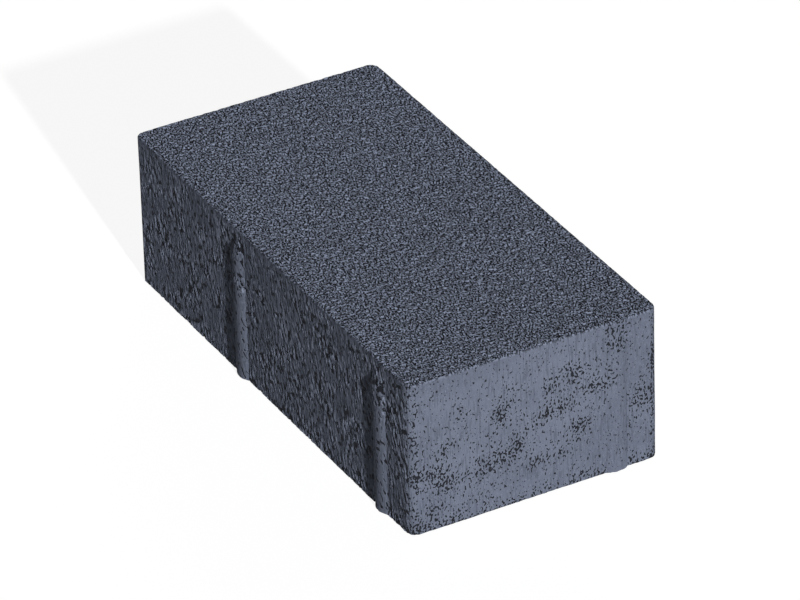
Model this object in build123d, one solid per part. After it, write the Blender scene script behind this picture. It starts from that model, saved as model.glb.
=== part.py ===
from build123d import *
import os

# Rectangular concrete paver, pressed in one piece, with spacer nibs on its four sides.
# Millimetres. The origin is the centre of the bed face, +Z is up through the wearing face
# and +X runs along the length.

# The block, measured without its nibs
LENGTH = 198.0
WIDTH = 98.0
THICKNESS = 60.0
CORNER_RADIUS = 4.0  # upright corners, rounded by the mould
ARRIS_RADIUS = 1.0  # worn edge round the wearing face

# The spacer nibs, which keep the joint open between neighbouring pavers
NIB_BASE_WIDTH = 9.0  # where the rounded nib meets the wall
NIB_PROJECTION = 1.5
NIB_TOP_DROP = 3.0  # from the wearing face down to where the nib dies into the wall
NIB_RUNOUT = 7.5  # height over which the nib grows to its full projection
LONG_WALL_OFFSET = 20.5  # from a long wall's right-hand end, seen from outside, to its first nib
END_WALL_OFFSET = 17.0  # the same on an end wall
NIB_SPACING = 100.0  # between the nibs of one wall

# A nib's section is a segment of a circle: this radius gives the segment its width and its height.
NIB_RADIUS = (NIB_PROJECTION**2 + (NIB_BASE_WIDTH / 2) ** 2) / (2 * NIB_PROJECTION)
NIB_AXIS_DEPTH = NIB_RADIUS - NIB_PROJECTION  # from the wall's face in to the centre of that circle


def make_block():
    """The plain block: upright corners rounded, a small arris round the wearing face, a sharp bed edge."""
    with BuildPart() as block:
        with BuildSketch():
            RectangleRounded(LENGTH, WIDTH, CORNER_RADIUS)
        extrude(amount=THICKNESS)
        wearing_face = block.faces().sort_by(Axis.Z)[-1]
        fillet(wearing_face.edges(), ARRIS_RADIUS)
    return block.part


def make_nib_rod():
    """An upright round rod with a tapered top. Part-sunk in a wall it leaves the nib standing proud.

    The taper crosses the wall's face NIB_TOP_DROP below the wearing face, and goes on inside the block
    for half of that drop, so that the nib runs out into the wall with no step.
    """
    runout_z = THICKNESS - NIB_TOP_DROP
    shoulder_z = runout_z - NIB_RUNOUT
    tip_z = runout_z + NIB_TOP_DROP / 2
    tip_radius = NIB_AXIS_DEPTH - NIB_PROJECTION * (tip_z - runout_z) / NIB_RUNOUT
    with BuildPart() as rod:
        with BuildSketch(Plane.XZ):
            with BuildLine():
                Polyline(
                    (0, 0),
                    (NIB_RADIUS, 0),
                    (NIB_RADIUS, shoulder_z),
                    (tip_radius, tip_z),
                    (0, tip_z),
                    close=True,
                )
            make_face()
        revolve(axis=Axis.Z)
    return rod.part


def nib_places(wall_length, wall_distance, end_offset):
    """Where the nibs of one wall stand, with the wall turned to face -Y and its right-hand end at +X.

    Counted from the right-hand end, as many nibs as keep clear of the rounded corner at the far end.
    """
    row_length = wall_length - end_offset - CORNER_RADIUS - NIB_BASE_WIDTH / 2
    count = 1 + int(row_length // NIB_SPACING)
    first_x = wall_length / 2 - end_offset
    axis_y = NIB_AXIS_DEPTH - wall_distance
    return [Pos(first_x - index * NIB_SPACING, axis_y, 0) for index in range(count)]


def make_paver():
    """The block with facing walls' nibs alike, seen from outside, so that they are staggered."""
    paver = make_block()
    nib_rod = make_nib_rod()
    long_wall = nib_places(LENGTH, WIDTH / 2, LONG_WALL_OFFSET)
    end_wall = nib_places(WIDTH, LENGTH / 2, END_WALL_OFFSET)
    for turn, places in enumerate([long_wall, end_wall, long_wall, end_wall]):
        for place in places:
            paver += Rot(0, 0, 90 * turn) * place * nib_rod
    return paver


os.makedirs("parts", exist_ok=True)
export_step(make_paver(), "parts/paver.step")
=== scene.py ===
# %% [markdown]
# # A pressed concrete paver
# The paver is one block of coloured concrete. A machine shakes and presses damp concrete into a steel
# mould, pushes it out straight away and leaves it to harden on a board. That is why the three kinds of
# face look so different: the wearing face on top is even and grainy, the four walls are a skin that the
# mould drags and tears open in places, and the underside is coarse.
#
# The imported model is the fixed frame. It is loaded first, and its box is kept, because nothing that is
# added below may change the size of the part.

# %% Load the frame
import itertools

import bpy
import numpy as np
from mathutils import Matrix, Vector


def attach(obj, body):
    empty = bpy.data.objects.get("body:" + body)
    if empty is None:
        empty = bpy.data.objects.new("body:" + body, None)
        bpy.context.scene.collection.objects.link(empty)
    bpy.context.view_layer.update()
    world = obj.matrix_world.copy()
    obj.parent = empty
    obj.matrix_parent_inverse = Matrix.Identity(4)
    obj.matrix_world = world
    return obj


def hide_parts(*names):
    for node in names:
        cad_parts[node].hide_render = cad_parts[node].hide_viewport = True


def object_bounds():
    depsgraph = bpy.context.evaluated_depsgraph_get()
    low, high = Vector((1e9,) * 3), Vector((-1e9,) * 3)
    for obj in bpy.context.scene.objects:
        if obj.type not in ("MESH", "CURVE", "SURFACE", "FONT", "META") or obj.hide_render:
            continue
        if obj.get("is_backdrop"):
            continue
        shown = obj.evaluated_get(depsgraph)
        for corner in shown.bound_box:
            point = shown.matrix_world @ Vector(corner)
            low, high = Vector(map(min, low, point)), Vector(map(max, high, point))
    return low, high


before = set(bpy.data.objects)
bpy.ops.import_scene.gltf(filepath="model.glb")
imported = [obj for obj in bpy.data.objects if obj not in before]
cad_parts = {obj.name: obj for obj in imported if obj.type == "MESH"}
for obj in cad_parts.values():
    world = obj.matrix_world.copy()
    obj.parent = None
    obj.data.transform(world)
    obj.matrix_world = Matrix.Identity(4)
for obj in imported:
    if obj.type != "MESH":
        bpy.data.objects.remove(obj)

MM = 0.001
TINY = 1e-12
cad_low, cad_high = (np.array(corner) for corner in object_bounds())
print("CAD box in mm:", np.round((cad_high - cad_low) / MM, 2))

# %% [markdown]
# ## The camera
# The photograph looks at one end and one long side from above, through a long lens, so that edges which
# are parallel on the block stay nearly parallel in the picture. The camera is placed by its angles round
# the block's middle, which is easier to read than a matrix: how far round, how high, how far away, and a
# slight roll. The last two shifts slide it sideways until the block sits where the photograph has it.

# %% Set up the camera
CAMERA_AZIMUTH = np.radians(61.61)
CAMERA_ELEVATION = np.radians(31.53)
CAMERA_ROLL = np.radians(-1.67)
CAMERA_DISTANCE = 2383.0 * MM
CAMERA_ASIDE = 2.75 * MM
CAMERA_RAISED = -2.73 * MM
CAMERA_LENS = 307.6  # millimetres on Blender's 36 mm sensor
CAMERA_SIGHT = 100.0  # metres, well past the far edge of the floor
BLOCK_MIDDLE = (cad_low + cad_high) / 2


def viewing_axes(azimuth, elevation):
    """Level right, up and backwards for a viewer who looks at the block. Azimuth 0 stands at -Y and turns
    towards +X, and elevation lifts the viewer. Up is the cross product of the other two."""
    flat = np.cos(elevation)
    back = np.array([np.sin(azimuth) * flat, -np.cos(azimuth) * flat, np.sin(elevation)])
    level_right = np.array([np.cos(azimuth), np.sin(azimuth), 0])
    return level_right, np.cross(back, level_right), back


def standing(right, up, back, place=(0, 0, 0)):
    """The matrix of a camera or lamp at a place: its columns are the three axes and the place."""
    matrix = np.eye(4)
    matrix[:3] = np.column_stack([right, up, back, place])
    return Matrix(matrix.tolist())


level_right, level_up, back = viewing_axes(CAMERA_AZIMUTH, CAMERA_ELEVATION)
right = np.cos(CAMERA_ROLL) * level_right + np.sin(CAMERA_ROLL) * level_up
up = np.cos(CAMERA_ROLL) * level_up - np.sin(CAMERA_ROLL) * level_right
eye = BLOCK_MIDDLE + back * CAMERA_DISTANCE + right * CAMERA_ASIDE + up * CAMERA_RAISED

camera = bpy.data.objects.new("camera", bpy.data.cameras.new("camera"))
bpy.context.scene.collection.objects.link(camera)
camera.matrix_world = standing(right, up, back, eye)
camera.data.lens = CAMERA_LENS
camera.data.clip_end = CAMERA_SIGHT
bpy.context.scene.camera = camera
print("camera at", np.round(eye, 3))

# %% [markdown]
# ## One closed skin
# The paver is a single casting, so it is a single closed mesh. It could be a subdivided cube, but then
# the relief would need far more points than are useful on the underside. Instead the skin is the outside
# of a box-shaped lattice: lines across the length, the width and the height, a little closer near the
# edges. Along the length they are twice as close, for the fine strokes on the long wall. Each side of the
# box is a grid, and points that two sides share are counted once.

# %% Lay out the lattice
NIB_PROJECTION = 1.5 * MM
CELL = 0.80 * MM
EDGE_STEPS = np.array([0, 0.3, 0.65, 1.05, 1.6]) * MM
# The cells along each axis come in such groups, so that a coarser side can join them evenly.
GROUP_X, GROUP_Y, GROUP_Z = 3, 6, 2
half_plan = (cad_high - cad_low)[:2] / 2 - NIB_PROJECTION
thickness = cad_high[2]


def lattice_lines(low, high, cell, group):
    """Places of the lattice lines along one axis: EDGE_STEPS in from both ends, even steps between.

    The number of cells is cut to a multiple of group.
    """
    inner_low, inner_high = low + EDGE_STEPS[-1], high - EDGE_STEPS[-1]
    cells = round((inner_high - inner_low) / cell)
    cells -= (cells + 2 * (len(EDGE_STEPS) - 1)) % group
    even = np.linspace(inner_low, inner_high, cells + 1)
    return np.concatenate([low + EDGE_STEPS[:-1], even, high - EDGE_STEPS[-2::-1]])


def halved(lines):
    """The same lines with another half-way between each two."""
    return np.interp(np.arange(2 * len(lines) - 1) / 2, np.arange(len(lines)), lines)


lines_x = halved(lattice_lines(-half_plan[0], half_plan[0], CELL, GROUP_X))
lines_y = lattice_lines(-half_plan[1], half_plan[1], CELL, GROUP_Y)
lines_z = lattice_lines(0, thickness, CELL, GROUP_Z)
line_counts = (len(lines_x), len(lines_y), len(lines_z))
print("lattice lines:", line_counts)

# %% [markdown]
# A face is a loop of point numbers. On the two photographed walls every lattice cell is a face. The other
# sides need less, so there a face joins several cells: two on the wearing face, four on the hidden walls
# and eighteen on the underside. Along its rim a joined face keeps every point that it shares with the
# next side, which gives it more than four corners and leaves no gap.

# %% Join lattice cells into faces


def cells_of(grid):
    """The loop of four points round each cell of a grid."""
    return np.stack([grid[:-1, :-1], grid[1:, :-1], grid[1:, 1:], grid[:-1, 1:]], axis=-1).reshape(-1, 4)


def joined_cells(grid, down, across):
    """Loops round cells that each join down by across cells of the grid. Plain ones inside, and along each
    of the four rims cells that keep every point of the rim, with the corner cell that starts that rim."""
    loops = cells_of(grid[::down, ::across][1:-1, 1:-1]).tolist()
    for turn in range(4):
        turned = np.rot90(grid, turn)
        deep, wide = (down, across) if turn % 2 == 0 else (across, down)
        rim, inner = turned[0], turned[deep]
        first = np.arange(wide, turned.shape[1] - wide - 1, wide)
        way_back = [rim[first + step] for step in range(wide, 0, -1)]
        loops += np.stack([rim[first], inner[first], inner[first + wide], *way_back], axis=-1).tolist()
        corner = [turned[: deep + 1, 0], inner[[wide]], rim[wide:0:-1]]
        loops.append(np.concatenate(corner).tolist())
    return loops


def side_loops(axis, at_high_end, joined):
    """Loops of one side of the lattice. Its point numbers are a grid, which is turned over on the sides
    where its cells, read round, would face inwards."""
    index = [np.arange(count) for count in line_counts]
    index[axis] = index[axis][-1:] if at_high_end else index[axis][:1]
    numbers = np.ravel_multi_index(np.meshgrid(*index, indexing="ij"), line_counts)
    grid = np.squeeze(numbers, axis=axis)
    steps = [step for other, step in enumerate(joined) if other != axis]
    if at_high_end == (axis == 1):
        grid, steps = grid.T, steps[::-1]
    return joined_cells(grid, *steps)


trial_grid = np.arange(20).reshape(4, 5)
print("a grid of 4 by 5 points has", len(joined_cells(trial_grid, 1, 1)), "cells")

# %% Number the faces
# Each side: its axis, whether it is at the high end, and how many cells are joined along X, Y and Z.
SIDES = [
    (1, False, (1, 1, 1)),  # photographed long wall
    (0, True, (1, 1, 1)),  # photographed end
    (2, True, (2, 1, 1)),  # wearing face
    (1, True, (2, 1, 2)),  # hidden long wall
    (0, False, (1, 2, 2)),  # hidden end
    (2, False, (6, 3, 1)),  # underside
]
loops = list(itertools.chain.from_iterable(side_loops(*side) for side in SIDES))
used, renumbered = np.unique(np.concatenate(loops), return_inverse=True)
loop_ends = np.cumsum([len(loop) for loop in loops])
faces = [loop.tolist() for loop in np.split(renumbered, loop_ends[:-1])]
print(len(used), "points,", len(faces), "faces")

# %% [markdown]
# ## From box to block
# The mould rounds the upright corners, and handling wears the edge round the wearing face to a small
# arris. Both are made by the same idea: near an edge, a point of the square box is moved along its ray
# from the centre of the arc until it lies on the arc. A bevel modifier could do it too, but here the same
# sums also tell which way is outwards at every point, and the relief needs that later.

# %% Define the rounding
CORNER_RADIUS = 4.0 * MM
ARRIS_RADIUS = 1.0 * MM
BED_EDGE_RADIUS = 0.4 * MM


def round_plan(plan):
    """Pulls the plan's square corners in to arcs and finds the nearest wall.

    In a corner's square, a point's two offsets from the arc's centre shrink by the larger over their
    hypotenuse, so that the square's rim lands on the arc. Returns the new plan, the way out to the wall
    and the distance to it.
    """
    offset = np.maximum(np.abs(plan) - (half_plan - CORNER_RADIUS), 0)
    reach = np.hypot(*offset.T)
    in_corner = offset.min(axis=1) > 0
    offset *= np.where(in_corner, offset.max(axis=1) / np.maximum(reach, TINY), 1)[:, None]
    side = np.where(plan < 0, -1.0, 1.0)
    rounded = side * (np.minimum(np.abs(plan), half_plan - CORNER_RADIUS) + offset)
    to_wall = half_plan - np.abs(plan)
    straight_out = np.where(to_wall[:, :1] < to_wall[:, 1:], [1.0, 0.0], [0.0, 1.0])
    corner_out = offset / np.maximum(np.hypot(*offset.T), TINY)[:, None]
    way_out = side * np.where(in_corner[:, None], corner_out, straight_out)
    inset = np.where(in_corner, CORNER_RADIUS - np.hypot(*offset.T), to_wall.min(axis=1))
    return rounded, way_out, inset


def round_edge(inset, depth, radius):
    """Quarter circle between a wall and a flat face, from the distances to each.

    Seen from the arc's centre a point within the edge has two offsets. Both are scaled by the radius over
    their hypotenuse. Returns the new distances and how far the surface there turns towards the flat face,
    from 0 on the wall to 1 on the face, as a sine.
    """
    out, along = np.maximum(radius - inset, 0), np.maximum(radius - depth, 0)
    reach = np.hypot(out, along)
    in_edge = (out > 0) & (along > 0)
    scale = np.where(in_edge, radius / np.maximum(reach, TINY), 1)
    new_inset = np.where(in_edge, radius - out * scale, inset)
    new_depth = np.where(in_edge, radius - along * scale, depth)
    turned = np.where(in_edge, along / np.maximum(reach, TINY), np.where(depth < TINY, 1.0, 0.0))
    return new_inset, new_depth, turned


print("corner, arris and bed edge in mm:", CORNER_RADIUS / MM, ARRIS_RADIUS / MM, BED_EDGE_RADIUS / MM)

# %% Round the corners and the arris
index_x, index_y, index_z = np.unravel_index(used, line_counts)
flat_plan, way_out, inset = round_plan(np.column_stack([lines_x[index_x], lines_y[index_y]]))
height = lines_z[index_z]
top_inset, top_depth, facing_up = round_edge(inset, thickness - height, ARRIS_RADIUS)
bed_inset, bed_depth, facing_down = round_edge(inset, height, BED_EDGE_RADIUS)
moved_in = (top_inset - inset) + (bed_inset - inset)
height = height + (thickness - height - top_depth) + (bed_depth - height)
facing_out = np.sqrt(np.maximum(1 - facing_up**2 - facing_down**2, 0))
outward = np.column_stack([way_out * facing_out[:, None], facing_up - facing_down])
block = np.column_stack([flat_plan - way_out * moved_in[:, None], height])
print("block in mm:", np.round(np.ptp(block, axis=0) / MM, 2))

# %% [markdown]
# ## Spacer nibs
# Each wall carries upright nibs that keep the joint open between neighbours. A nib is the part of a round
# rod that stands proud of the wall, and near the top the rod tapers until it sinks into the wall. So its
# height at a point is a circle's height over a chord, with a radius that shrinks towards the top. Walls
# are treated one after the other, each turned to face the same way.

# %% Define the nibs
NIB_BASE_WIDTH = 9.0 * MM
NIB_TOP_DROP = 3.0 * MM
NIB_RUNOUT = 7.5 * MM
LONG_WALL_OFFSET = 20.5 * MM
END_WALL_OFFSET = 17.0 * MM
NIB_SPACING = 100.0 * MM
NIB_RADIUS = (NIB_PROJECTION**2 + (NIB_BASE_WIDTH / 2) ** 2) / (2 * NIB_PROJECTION)
NIB_AXIS_DEPTH = NIB_RADIUS - NIB_PROJECTION


def wall_places(turn):
    """How far each point lies along a wall and how far short of it, with the wall turned to face -Y and
    its right-hand end at +X, and half the wall's length. turn counts quarter turns from the long wall at
    -Y: that wall, the end at +X, the long wall at +Y and the end at -X."""
    x, y = block[:, 0], block[:, 1]
    along, facing = [(x, -y), (y, x), (-x, y), (-y, -x)][turn]
    half_run, half_depth = half_plan if turn % 2 == 0 else half_plan[::-1]
    return along, half_depth - facing, half_run


def nib_centres(turn):
    """Places of a wall's nibs along it, counted from its right-hand end."""
    half_run, offset = [(half_plan[0], LONG_WALL_OFFSET), (half_plan[1], END_WALL_OFFSET)][turn % 2]
    row_length = 2 * half_run - offset - CORNER_RADIUS - NIB_BASE_WIDTH / 2
    return half_run - offset - NIB_SPACING * np.arange(1 + int(row_length // NIB_SPACING))


def nib_rise(beside, z):
    """Height of a nib over its wall: the root of radius squared less sideways distance squared, less the
    depth of the rod's axis. Above the shoulder the radius shrinks in a straight line."""
    shoulder = thickness - NIB_TOP_DROP - NIB_RUNOUT
    radius = NIB_RADIUS - NIB_PROJECTION * np.maximum(z - shoulder, 0) / NIB_RUNOUT
    return np.maximum(np.sqrt(np.maximum(radius**2 - beside**2, 0)) - NIB_AXIS_DEPTH, 0)


print("nibs on the four walls:", [len(nib_centres(turn)) for turn in range(4)])

# %% Raise the nibs
WALL_SKIN = 0.5 * MM  # a point this near to a wall's plane belongs to that wall
NIB_SMOOTH_TO = 36.0 * MM  # up to this height the mould presses a nib's face smooth
rise = np.zeros(len(block))
pressed = np.zeros(len(block))  # 1 on those smooth faces
for turn in range(4):
    along, short_of_wall, _ = wall_places(turn)
    on_wall = short_of_wall < WALL_SKIN
    for centre in nib_centres(turn):
        rise += np.where(on_wall, nib_rise(along - centre, block[:, 2]), 0)
        pressed += on_wall & (np.abs(along - centre) < NIB_BASE_WIDTH / 2) & (block[:, 2] < NIB_SMOOTH_TO)
shaped = block + np.column_stack([way_out, np.zeros(len(block))]) * rise[:, None]
print("the highest nib in mm:", round(rise.max() / MM, 2))

# %% [markdown]
# ## Noise to draw with
# Concrete is random, but it has to be the same random paver each time, so the numbers come from the
# points' own places. `lattice_random` turns whole numbers into a repeatable random number, and
# `soft_noise` blends such numbers into rolling lumps. It takes one lump size, or one for each axis, to
# stretch the lumps. The seed, a whole number, tells one noise from another.

# %% Define the noise
LOW_BITS = np.uint64(2**32 - 1)
AXIS_WEIGHTS = np.array([374761393, 668265263, 1442695041], dtype=np.uint64)
SEED_WEIGHT = 2654435761
FIRST_FOLD = np.uint64(2246822519)
SECOND_FOLD = np.uint64(3266489917)


def lattice_random(cell, seed):
    """A repeatable number from 0 to 1 for each row of three whole numbers: weigh them with large odd
    numbers, add, then twice fold the high bits into the low ones and multiply."""
    whole = cell.astype(np.int64).astype(np.uint64) & LOW_BITS
    start = np.uint64(seed * SEED_WEIGHT % 2**32)
    bits = ((whole * AXIS_WEIGHTS).sum(axis=1) + start) & LOW_BITS
    bits = ((bits ^ (bits >> np.uint64(15))) * FIRST_FOLD) & LOW_BITS
    bits = ((bits ^ (bits >> np.uint64(13))) * SECOND_FOLD) & LOW_BITS
    return (bits ^ (bits >> np.uint64(16))) / float(LOW_BITS)


def soft_noise(points, size, seed):
    """Smooth noise from -1 to 1: random numbers on the corners of cells of that size, blended along each
    axis by a smooth step that is flat at both ends."""
    place = points / np.asarray(size)
    cell = np.floor(place)
    step = place - cell
    step = step**3 * (step * (step * 6 - 15) + 10)
    blended = np.zeros(len(points))
    for corner in itertools.product((0, 1), repeat=3):
        weight = np.prod(np.where(corner, step, 1 - step), axis=1)
        blended += weight * lattice_random(cell + corner, seed)
    return 2 * blended - 1


def smooth_step(value, low, high):
    """0 below low, 1 above high, and an S-shaped curve between."""
    share = np.clip((value - low) / (high - low), 0, 1)
    return share * share * (3 - 2 * share)


trial = soft_noise(shaped, 5 * MM, 1)
print("noise from", round(trial.min(), 2), "to", round(trial.max(), 2))

# %% [markdown]
# ## Where the skin is torn open
# As the mould leaves, it drags the damp skin upright and tears it in patches. They gather low on the
# walls, at the corners, and on the sloping tops of the nibs, where nothing pressed the concrete. The
# patches on the two photographed walls are set to lie where the photograph has them, and the other
# walls get patches of the same kind at random. `torn` is 0 on closed skin and 1 where it is open.

# %% Lay out the patches
# Each patch: distance along its wall from the middle, height, half width and half height, in millimetres.
LONG_WALL_PATCHES = [
    (-82, 30, 5, 4), (-67, 28, 3, 5), (-64, 42, 4, 3), (-52, 22, 5, 4), (-40, 39, 4, 4), (-37, 25, 3, 5),
    (-3, 16, 5, 4), (6, 26, 6, 4), (23, 17, 6, 4), (37, 26, 4, 5), (38, 46, 9, 6), (49, 42, 4, 5),
    (62, 18, 5, 3), (90, 45, 4, 8),
]
END_WALL_PATCHES = [
    (-43, 22, 7, 3), (-34, 17, 6, 6), (-33, 32, 5, 3), (-30, 44, 3, 3), (-22, 19, 6, 5), (-13, 20, 4, 4),
    (-13, 38, 4, 5), (-6, 23, 3, 4), (0, 14, 7, 3), (5, 31, 6, 3), (6, 41, 3, 4), (12, 33, 4, 3),
    (15, 45, 4, 5), (18, 23, 5, 3), (24, 37, 6, 3), (30, 30, 2, 10), (36, 14, 2, 9), (41, 26, 5, 5),
    (47, 41, 2, 6), (-41, 8, 6, 5),
]
# The ranges of the random ones, in millimetres
PATCH_HEIGHTS = (8, 50)
PATCH_HALF_WIDTHS = (3, 7)
PATCH_HALF_HEIGHTS = (3, 6)
PATCH_SEED = 11


def scattered_patches(half_run, count, rng):
    """Patches at random along a wall and up it, as wide and high as those listed."""
    ranges = [(-half_run / MM, half_run / MM), PATCH_HEIGHTS, PATCH_HALF_WIDTHS, PATCH_HALF_HEIGHTS]
    low, high = np.transpose(ranges)
    return rng.uniform(low, high, (count, len(ranges)))


def patch_cover(along, z, patches):
    """Sum of soft blobs, each falling off as a bell curve from its middle."""
    cover = np.zeros(len(z))
    for middle, level, half_width, half_height in np.asarray(patches) * MM:
        cover += np.exp(-(((along - middle) / half_width) ** 2) - ((z - level) / half_height) ** 2)
    return cover


rng = np.random.default_rng(PATCH_SEED)
wall_patches = [
    LONG_WALL_PATCHES,
    END_WALL_PATCHES,
    scattered_patches(half_plan[0], len(LONG_WALL_PATCHES), rng),
    scattered_patches(half_plan[1], len(END_WALL_PATCHES), rng),
]
print("patches on the four walls:", [len(patches) for patches in wall_patches])

# %% Tear the skin
# How far each kind of place is torn, and the bands in which tearing sets in and is full.
TORN_AT_BED = 0.45
TORN_IN_PATCH = 0.55
TORN_AT_CORNER = 0.15
TORN_ON_NIB_TOP = 0.55
SPARED_ON_NIB_FACE = 0.5
BED_BAND = 7.0 * MM  # up from the bed
CORNER_BAND = np.array([5, 2]) * MM  # in from a wall's end
NIB_TOP_BAND = np.array([14, 8]) * MM  # down from the wearing face
COARSE_FRAY, COARSE_FRAY_SIZE = 0.16, 9.0 * MM
FINE_FRAY, FINE_FRAY_SIZE = 0.12, 3.5 * MM

torn = TORN_AT_BED * smooth_step(BED_BAND - shaped[:, 2], 0, BED_BAND)
nib_top = TORN_ON_NIB_TOP * smooth_step(shaped[:, 2], *(thickness - NIB_TOP_BAND))
for turn, patches in enumerate(wall_patches):
    along, short_of_wall, half_run = wall_places(turn)
    on_wall = short_of_wall < CORNER_RADIUS
    torn += np.where(on_wall, TORN_IN_PATCH * patch_cover(along, shaped[:, 2], patches), 0)
    torn += np.where(on_wall, TORN_AT_CORNER * smooth_step(np.abs(along), *(half_run - CORNER_BAND)), 0)
    for centre in nib_centres(turn):
        on_nib = on_wall & (np.abs(along - centre) < NIB_BASE_WIDTH / 2)
        torn += np.where(on_nib, nib_top, 0)
coarse_fray = COARSE_FRAY * soft_noise(shaped, COARSE_FRAY_SIZE, 21)
fine_fray = FINE_FRAY * soft_noise(shaped, FINE_FRAY_SIZE, 22)
torn += coarse_fray + fine_fray
torn = np.clip(torn - SPARED_ON_NIB_FACE * pressed, 0, 1) * facing_out
print("torn share of the walls:", round(float(torn[facing_out > 0.9].mean()), 3))

# %% [markdown]
# ## Strokes on the long wall
# The photographed long wall is covered with short slanting strokes, some low and some high, which the
# light rakes across. They are noise with narrow, tall lumps, read along axes that lean by the slant.
# `busy` says how strong they are: stronger on torn skin, uneven in slow waves, and nothing on the smooth
# nib faces, off the wall and along its top edge. `stroke` is the height, from -1 at the lowest to 1.

# %% Draw the strokes
STROKE_SLANT = np.radians(22)
STROKE_SIZE = np.array([0.76, 1.8, 50]) * MM  # across a stroke, along it and into the wall
STROKE_CONTRAST = 1.5
WALL_TURN = (0.75, 0.95)  # how far a corner has to turn to -Y where the strokes set in and are full
TOP_FADE = 2.5 * MM
BUSY_MEAN, BUSY_RANGE = 0.50, (0.20, 0.75)
BUSY_WAVE, BUSY_WAVE_SIZE = 0.35, 5.0 * MM
BUSY_WHERE_TORN = 0.35

on_long = smooth_step(-way_out[:, 1], *WALL_TURN)
across = np.cos(STROKE_SLANT) * shaped[:, 0] + np.sin(STROKE_SLANT) * shaped[:, 2]
upward = np.cos(STROKE_SLANT) * shaped[:, 2] - np.sin(STROKE_SLANT) * shaped[:, 0]
slanted = np.column_stack([across, upward, shaped[:, 1]])
strokes = np.clip(STROKE_CONTRAST * soft_noise(slanted, STROKE_SIZE, 51), -1, 1)
waves = BUSY_WAVE * soft_noise(shaped, BUSY_WAVE_SIZE, 53)
busy = np.clip(BUSY_MEAN + BUSY_WHERE_TORN * torn + waves, *BUSY_RANGE) * on_long
busy *= (1 - pressed) * facing_out**2 * smooth_step(thickness - shaped[:, 2], 0, TOP_FADE)
stroke = strokes * busy
print("strokes from", round(stroke.min(), 2), "to", round(stroke.max(), 2))

# %% [markdown]
# ## Relief
# Relief moves the points in along their outward direction, never out, so that the part keeps its size.
# The wearing face gets a dense grain of sand. The walls get shallow drag marks and slow swells, the long
# wall its strokes, and the others single pits, more of them where the skin is torn. The smooth nib faces
# only sink a little. The arris and the bed edge lose small chips, and the underside gets coarse lumps.
# Only what the lattice can carry is shaped here, and finer grain follows as bump.

# %% Define the grain, marks, pits and chips
DRAG_LENGTHS = (3 * MM, 9 * MM)
PIT_LIMIT, PIT_LIMIT_SINKS, PIT_RIM = 0.98, 0.20, 0.1
CHIP_SIZE, CHIP_LEVELS = 1.3 * MM, (0.1, 0.9)


def own_number(seed):
    """A random number from -1 to 1 for each point by itself, for grain as fine as the lattice."""
    return 2 * lattice_random(np.column_stack([index_x, index_y, index_z]), seed) - 1


def own_streak(length, seed):
    """A random number from -1 to 1 for each upright line of the lattice, changing softly up the wall."""
    return soft_noise(np.column_stack([index_x, index_y, height / length]), 1, seed)


def wearing_grain():
    """Single grains, one for each point, from 0 at the highest grain down to -1."""
    return (own_number(31) - 1) / 2


def drag_marks():
    """Upright streaks one lattice line wide, a short and a long kind added up, from 0 down to -1."""
    short, long = DRAG_LENGTHS
    streaks = 0.5 * own_streak(short, 41) + 0.5 * own_streak(long, 43)
    return (streaks - 1) / 2


def pits():
    """1 in a pit and 0 on whole skin. A point is a pit if its random number is among the highest, and the
    limit sinks as the skin gets more torn."""
    limit = PIT_LIMIT - PIT_LIMIT_SINKS * torn
    return smooth_step(own_number(52), limit, limit + PIT_RIM)


def chips(seed):
    """Small bites out of an edge: only the highest lumps of the noise count."""
    return smooth_step(soft_noise(shaped, CHIP_SIZE, seed), *CHIP_LEVELS)


print("share of points in pits:", round(float(pits().mean()), 3))

# %% Add up the relief
GRAIN_DEPTH = 0.60 * MM
DRAG_DEPTH = 0.06 * MM
SWELL_DEPTH = 0.10 * MM
SWELL_SIZE = np.array([7, 7, 20]) * MM
PIT_DEPTH = 0.42 * MM
STROKE_DEPTH = 0.54 * MM
PRESSED_DEPTH = 0.30 * MM
ARRIS_CHIP = 0.15 * MM
BED_CHIP = 0.5 * MM
UNDERSIDE_DEPTH = 0.35 * MM
UNDERSIDE_LUMP, UNDERSIDE_SMALL_LUMP = 6 * MM, 3 * MM

swells = (soft_noise(shaped, SWELL_SIZE, 42) - 1) / 2
skin = DRAG_DEPTH * drag_marks() + SWELL_DEPTH * swells - PIT_DEPTH * (1 - on_long) ** 2 * pits()
skin -= STROKE_DEPTH * on_long * (1 - stroke) / 2
underside = (soft_noise(shaped, UNDERSIDE_LUMP, 61) + soft_noise(shaped, UNDERSIDE_SMALL_LUMP, 62) - 2) / 4
# On a rounded edge these are the squared sine of twice the angle: 1 half-way round and 0 at both ends.
on_arris = np.clip(4 * (facing_up * facing_out) ** 2, 0, 1)
on_bed_edge = np.clip(4 * (facing_down * facing_out) ** 2, 0, 1)
relief = facing_up**6 * GRAIN_DEPTH * wearing_grain()
relief += facing_out**2 * (skin * (1 - pressed) - PRESSED_DEPTH * pressed)
relief += facing_down**2 * UNDERSIDE_DEPTH * underside
relief -= ARRIS_CHIP * on_arris * chips(71) + BED_CHIP * on_bed_edge * chips(72)
surface = np.clip(shaped + outward * relief[:, None], cad_low, cad_high)
print("relief in mm: from", round(relief.min() / MM, 2), "to", round(relief.max() / MM, 2))

# %% [markdown]
# ## The mesh
# The points and loops go into one mesh. Four numbers travel with each point, for the finish to read: how
# much it belongs to the wearing face and to the photographed long wall, how torn the skin is, and the
# height of its stroke. The faces stay flat, because each grain is a point or two wide. The new piece
# stands for the CAD node of the same shape, which stays hidden and keeps the collision.

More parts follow.
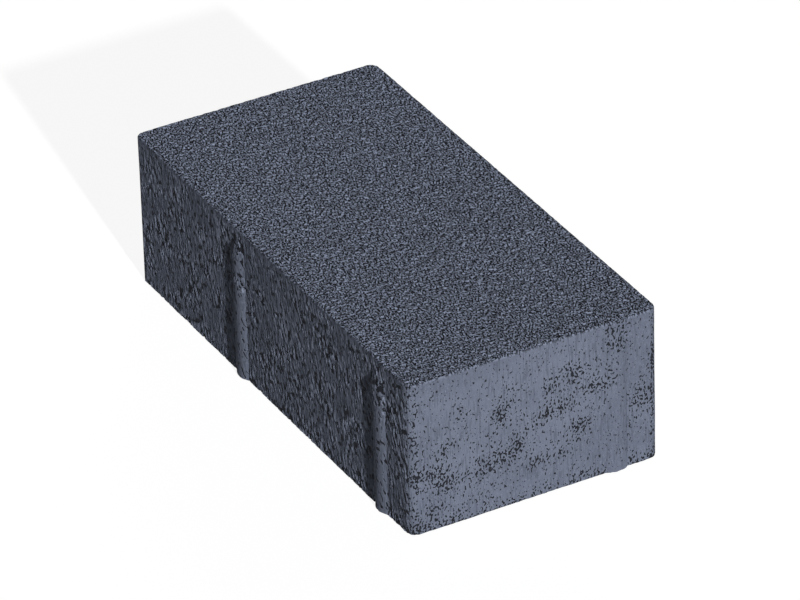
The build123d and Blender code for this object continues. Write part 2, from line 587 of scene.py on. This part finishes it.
# %% Make the paver
paver_mesh = bpy.data.meshes.new("concrete_paver")
paver_mesh.from_pydata(surface.tolist(), [], faces)
paver_mesh.validate()
carried = {"wearing_face": facing_up, "long_wall": on_long, "torn_skin": torn, "stroke": stroke}
for name, values in carried.items():
    attribute = paver_mesh.attributes.new(name, "FLOAT", "POINT")
    attribute.data.foreach_set("value", values.astype(np.float32))
paver = bpy.data.objects.new("concrete_paver", paver_mesh)
bpy.context.scene.collection.objects.link(paver)
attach(paver, "root")
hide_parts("paver")
paver_mesh.calc_loop_triangles()
print(len(paver_mesh.loop_triangles), "triangles")

# %% [markdown]
# ## The concrete's finish
# The finish is drawn by nodes that read the place on the block, so it runs round the corners without a
# seam. A helper adds a node, sets its sockets and links those that are given another node's output. The
# others are short names for the few kinds of node that are needed again and again.

# %% Start the finish
finish = bpy.data.materials.new("anthracite_concrete")
finish.use_nodes = True
finish.node_tree.nodes.clear()


def add(kind, sockets=None, **settings):
    """Adds a node of that kind to the finish. A socket, given by name or number, gets a value or a link."""
    node = finish.node_tree.nodes.new("ShaderNode" + kind)
    for name, value in settings.items():
        setattr(node, name, value)
    for name, value in (sockets or {}).items():
        if isinstance(value, bpy.types.NodeSocket):
            finish.node_tree.links.new(value, node.inputs[name])
        else:
            node.inputs[name].default_value = value
    return node


def noise(place, scale, detail=0.0, roughness=0.5):
    """Blender's rolling noise, about 0 to 1, with lumps one over scale wide."""
    sockets = {"Vector": place, "Scale": scale, "Detail": detail, "Roughness": roughness}
    return add("TexNoise", sockets).outputs["Fac"]


def remap(value, low, high, to_low=0.0, to_high=1.0, smooth=True):
    """Maps the range low to high on to the other range, with an S-shaped curve or a straight line."""
    kind = "SMOOTHSTEP" if smooth else "LINEAR"
    sockets = {"Value": value, "From Min": low, "From Max": high, "To Min": to_low, "To Max": to_high}
    return add("MapRange", sockets, interpolation_type=kind).outputs["Result"]


def maths(operation, *values):
    """One arithmetic step between outputs or numbers."""
    return add("Math", dict(enumerate(values)), operation=operation).outputs["Value"]


def blend_colours(share, first, second):
    """Mixes two colours like paint, by the share of the second. Sockets 0, 6 and 7 are those for colours."""
    return add("Mix", {0: share, 6: first, 7: second}, data_type="RGBA").outputs[2]


def stretched(place, scale, rotation=(0, 0, 0)):
    """The place turned and scaled. A scale under 1 draws a pattern out along that axis."""
    return add("Mapping", {"Vector": place, "Scale": scale, "Rotation": rotation}).outputs["Vector"]


def point_value(name):
    """The number of that name that travels with the mesh's points."""
    return add("Attribute", attribute_name=name).outputs["Fac"]


print("finish", finish.name, "started")

# %% [markdown]
# ### Where to draw
# Every pattern below reads one of these places. Some are drawn out upright, as the mould moved, and some
# along the length. One is turned out of line with the block, so that its specks show no rows, and one
# leans like the strokes on the long wall, with the size of a fine stroke as its unit.

# %% Set out the places
SPECK_TURN = (0.6, 0.5, 0.4)
FINE_STROKE_SIZE = (0.95 * MM, 50 * MM, 2.4 * MM)  # across a stroke, into the wall and along the stroke

place = add("TexCoord").outputs["Object"]
upright = stretched(place, (1, 1, 0.75))
tilted = stretched(upright, (1, 1, 1), SPECK_TURN)
slant = {"Vector": place, "Rotation": (0, -STROKE_SLANT, 0), "Scale": FINE_STROKE_SIZE}
slanting = add("Mapping", slant, vector_type="TEXTURE").outputs["Vector"]
lengthwise = stretched(place, (0.70, 1, 1))
streaked = stretched(place, (1, 1, 0.3))
hairline = stretched(place, (1, 1, 0.12))
wearing = point_value("wearing_face")
torn_skin = point_value("torn_skin")
stroke_height = point_value("stroke")
long_wall = point_value("long_wall")
print("place nodes:", len(finish.node_tree.nodes))

# %% [markdown]
# ### Grain, pits and drag lines
# The wearing face has sand grains with near-black painted shade in the gaps between them. The walls have
# small pits, where noise rises over a limit, each with near-black painted shade inside and a pale painted
# highlight on its lip. Torn skin lifts the noise, so pits crowd there. On the long wall they are fine
# slanting strokes, and the lowest of the shaped strokes get painted shade and the highest a painted
# highlight as well. Streaks and hairlines are noise drawn out upright, scratched by the steel of the mould.

# %% Draw the patterns
# Scales count lumps to the metre. Each range says where a pattern sets in and where it is full.
SAND_SCALE, GRAIN_SCALE, GRAIN_RANGE = 1000, 1700, (0.40, 0.60)
SPECK_SCALE = 1450
FINE_STROKES_RAISED = 0.10
TORN_WEIGHT, TORN_WEIGHT_LONG_WALL = 0.36, 0.12
PIT_RANGE = (0.72, 0.74)
# The pale lip round each pit is a painted highlight.
LIP_HIGHLIGHT_RANGE, LIP_HIGHLIGHT_SHARE = (0.62, 0.73), 0.45
LOW_STROKES, HIGH_STROKES = (-0.36, -0.41), (0.36, 0.42)
STREAK_SCALE = 1600
HAIRLINE_SCALE, HAIRLINE_RANGE = 1500, (0.58, 0.72)

sand = noise(place, SAND_SCALE)
packed = {"Vector": lengthwise, "Scale": GRAIN_SCALE, "Detail": 0}
grains = add("TexNoise", packed, noise_dimensions="2D").outputs["Fac"]
grain_share = remap(grains, *GRAIN_RANGE, smooth=False)
end_specks = noise(tilted, SPECK_SCALE)
long_specks = maths("ADD", noise(slanting, 1.0), FINE_STROKES_RAISED)
speck_noise = add("Mix", {"Factor": long_wall, "A": end_specks, "B": long_specks}).outputs["Result"]
torn_weight = remap(long_wall, 0, 1, TORN_WEIGHT, TORN_WEIGHT_LONG_WALL, smooth=False)
pit_level = maths("MULTIPLY_ADD", torn_skin, torn_weight, speck_noise)
# A pale painted highlight on a lip round each pit.
lip_highlight = remap(pit_level, *LIP_HIGHLIGHT_RANGE, 0.0, LIP_HIGHLIGHT_SHARE)
low_stroke = maths("MULTIPLY", remap(stroke_height, *LOW_STROKES), long_wall)
# Pits and the lowest strokes: this mask sinks the bump and lays near-black painted shade in them.
wall_pit = maths("MAXIMUM", remap(pit_level, *PIT_RANGE), low_stroke)
# A pale painted highlight on the highest strokes of the long wall.
crest_highlight = maths("MULTIPLY", remap(stroke_height, *HIGH_STROKES), long_wall)
streaks = noise(streaked, STREAK_SCALE)
hairlines = remap(noise(hairline, HAIRLINE_SCALE), *HAIRLINE_RANGE)
print("nodes with the patterns:", len(finish.node_tree.nodes))

# %% [markdown]
# ### Colour
# The colour is mixed through the concrete, so it varies only a little: slow clouds of paler and darker
# cement, and a fine speckle. Over that come the dark hairlines, a pale painted highlight on the lips and
# crests, and near-black painted shade down in the pits, in the lowest strokes and in the gaps between
# sand grains.

# %% Mix the colours
CONCRETE = (0.165, 0.188, 0.252, 1)
CONCRETE_PALE = (0.205, 0.232, 0.304, 1)
CONCRETE_DARK = (0.110, 0.126, 0.173, 1)
# Painted highlight on pit lips and stroke crests.
CREST_HIGHLIGHT = (0.300, 0.341, 0.450, 1)
SAND = (0.275, 0.316, 0.426, 1)
# Near-black painted shade in the gaps between sand grains.
GAP_SHADE = (0.008, 0.009, 0.012, 1)
# Near-black painted shade down in pits and the lowest strokes.
PIT_SHADE = (0.010, 0.011, 0.014, 1)
CLOUD_SCALE, CLOUD_RANGE = 45, (0.35, 0.65)
EVENNESS = 0.65  # how far the plain colour covers the clouds
SPECKLE_SCALE, SPECKLE_RANGE, SPECKLE_SHARE = 1100, (0.35, 0.75), 0.35
HAIRLINE_SHARE = 0.65
# How far the painted shade covers a pit.
PIT_SHARE = 0.95

clouds = noise(place, CLOUD_SCALE, detail=4, roughness=0.6)
speckle = noise(upright, SPECKLE_SCALE)
cement = blend_colours(remap(clouds, *CLOUD_RANGE), CONCRETE_DARK, CONCRETE_PALE)
cement = blend_colours(EVENNESS, cement, CONCRETE)
cement = blend_colours(remap(speckle, *SPECKLE_RANGE, 0.0, SPECKLE_SHARE), cement, CONCRETE_PALE)
cement = blend_colours(maths("MULTIPLY", hairlines, HAIRLINE_SHARE), cement, CONCRETE_DARK)
# Painted highlight on the lips and crests.
cement = blend_colours(maths("MAXIMUM", crest_highlight, lip_highlight), cement, CREST_HIGHLIGHT)
# Near-black painted shade in the pits and the lowest strokes.
cement = blend_colours(maths("MULTIPLY", wall_pit, PIT_SHARE), cement, PIT_SHADE)
# The sand grains keep their own paler colour, and the gaps between them get painted shade.
sandy = blend_colours(grain_share, GAP_SHADE, SAND)
coloured = blend_colours(wearing, cement, sandy)
print("nodes with the colours:", len(finish.node_tree.nodes))

# %% [markdown]
# ### Bump and shader
# The bump carries what is finer than the lattice. Its height is counted in millimetres: sand grains stand
# up to half of one, pits sink a quarter, and streaks are shallow on closed skin and deeper where it is
# torn. Dry concrete is matt, so the shader is rough and barely glossy.

# %% Put the shader together
GRAIN_BUMP = 0.5
PIT_BUMP = 0.25
STREAK_BUMP, STREAK_BUMP_TORN = 0.14, 0.35
GLOSS_SCALE, GLOSS_RANGE, ROUGHNESS_RANGE = 600, (0.3, 0.7), (0.78, 0.95)
SPECULAR_LEVEL = 0.12

grain_height = maths("MULTIPLY", sand, maths("MULTIPLY", wearing, GRAIN_BUMP))
streak_depth = maths("MULTIPLY_ADD", torn_skin, STREAK_BUMP_TORN, STREAK_BUMP)
streak_height = maths("MULTIPLY", streaks, streak_depth)
wall_height = maths("MULTIPLY_ADD", wall_pit, -PIT_BUMP, streak_height)
wall_height = maths("MULTIPLY", wall_height, maths("SUBTRACT", 1.0, wearing))
total_height = maths("ADD", grain_height, wall_height)
bump = add("Bump", {"Strength": 1.0, "Distance": MM, "Height": total_height}).outputs["Normal"]
gloss_break = remap(noise(place, GLOSS_SCALE, detail=3), *GLOSS_RANGE, *ROUGHNESS_RANGE)
surface_sockets = {"Base Color": coloured, "Roughness": gloss_break, "Normal": bump}
surface_sockets["Specular IOR Level"] = SPECULAR_LEVEL
shader = add("BsdfPrincipled", surface_sockets)
add("OutputMaterial", {"Surface": shader.outputs["BSDF"]})
paver_mesh.materials.append(finish)
print("finish nodes:", len(finish.node_tree.nodes))

# %% [markdown]
# ## Floor
# The paver lies on a plain pale floor. For the camera, and for what mirrors and glass would show, the
# floor glows nearly white. That glow lights nothing, so the floor still keeps the paver's shadow.

# %% Lay the floor
FLOOR_HALF = 6.0
FLOOR_DROP = 0.1 * MM
FLOOR_SHADE = (0.25, 0.25, 0.25, 1)
FLOOR_GLOW = 0.90


def seen_directly(tree):
    """1 for rays from the camera and for what mirrors and glass show, 0 for the light that things share."""
    path = tree.nodes.new("ShaderNodeLightPath")
    share = path.outputs["Is Camera Ray"]
    for ray in ("Is Glossy Ray", "Is Transmission Ray"):
        larger = tree.nodes.new("ShaderNodeMath")
        larger.operation = "MAXIMUM"
        tree.links.new(share, larger.inputs[0])
        tree.links.new(path.outputs[ray], larger.inputs[1])
        share = larger.outputs["Value"]
    return share


floor_mesh = bpy.data.meshes.new("floor")
corners = np.array([(-1, -1), (1, -1), (1, 1), (-1, 1)]) * FLOOR_HALF
floor_mesh.from_pydata([(x, y, -FLOOR_DROP) for x, y in corners], [], [(0, 1, 2, 3)])
floor = bpy.data.objects.new("floor", floor_mesh)
bpy.context.scene.collection.objects.link(floor)
floor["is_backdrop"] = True

floor_finish = bpy.data.materials.new("pale_floor")
floor_finish.use_nodes = True
floor_tree = floor_finish.node_tree
floor_tree.nodes.clear()
matt = floor_tree.nodes.new("ShaderNodeBsdfDiffuse")
matt.inputs["Color"].default_value = FLOOR_SHADE
glow = floor_tree.nodes.new("ShaderNodeEmission")
glow_share = floor_tree.nodes.new("ShaderNodeMath")
glow_share.operation = "MULTIPLY"
glow_share.inputs[1].default_value = FLOOR_GLOW
both = floor_tree.nodes.new("ShaderNodeAddShader")
floor_out = floor_tree.nodes.new("ShaderNodeOutputMaterial")
floor_tree.links.new(seen_directly(floor_tree), glow_share.inputs[0])
floor_tree.links.new(glow_share.outputs["Value"], glow.inputs["Strength"])
floor_tree.links.new(matt.outputs["BSDF"], both.inputs[0])
floor_tree.links.new(glow.outputs["Emission"], both.inputs[1])
floor_tree.links.new(both.outputs["Shader"], floor_out.inputs["Surface"])
floor_mesh.materials.append(floor_finish)
print("floor", 2 * FLOOR_HALF, "m wide")

# %% [markdown]
# ## Light
# The end wall is bright and the long wall dark, so the key lamp almost faces the end. It shines low, and
# rakes across the long wall and the wearing face, which draws out their relief. A weaker and much softer
# lamp behind the paver fills the hidden sides. The world is white to the camera but adds only a little
# light of its own.

# %% Set the lamps
KEY_AZIMUTH, KEY_ELEVATION = np.radians(82), np.radians(20)
KEY_STRENGTH = 3.0
KEY_SOFTNESS = np.radians(1.5)
FILL_AZIMUTH, FILL_ELEVATION = np.radians(232), np.radians(9)
FILL_STRENGTH = 0.95
FILL_SOFTNESS = np.radians(40)


def add_lamp(name, azimuth, elevation, strength, softness):
    """A far lamp with parallel light. strength over pi is how bright it makes a white sheet facing it."""
    lamp = bpy.data.objects.new(name, bpy.data.lights.new(name, "SUN"))
    lamp.matrix_world = standing(*viewing_axes(azimuth, elevation))
    lamp.data.energy = strength
    lamp.data.angle = softness
    bpy.context.scene.collection.objects.link(lamp)
    print(name, "of strength", strength)


add_lamp("key_light", KEY_AZIMUTH, KEY_ELEVATION, KEY_STRENGTH, KEY_SOFTNESS)
add_lamp("fill_light", FILL_AZIMUTH, FILL_ELEVATION, FILL_STRENGTH, FILL_SOFTNESS)

# %% Set the world
SKY_STRENGTH = 0.05
world = bpy.data.worlds.new("white_studio")
bpy.context.scene.world = world
world.use_nodes = True
world_tree = world.node_tree
background = world_tree.nodes["Background"]
background.inputs["Color"].default_value = (1, 1, 1, 1)
level = world_tree.nodes.new("ShaderNodeMapRange")
level.inputs["To Min"].default_value = SKY_STRENGTH
level.inputs["To Max"].default_value = 1.0
world_tree.links.new(seen_directly(world_tree), level.inputs["Value"])
world_tree.links.new(level.outputs["Result"], background.inputs["Strength"])
bpy.context.scene.view_settings.view_transform = "Standard"
print("sky light", SKY_STRENGTH)
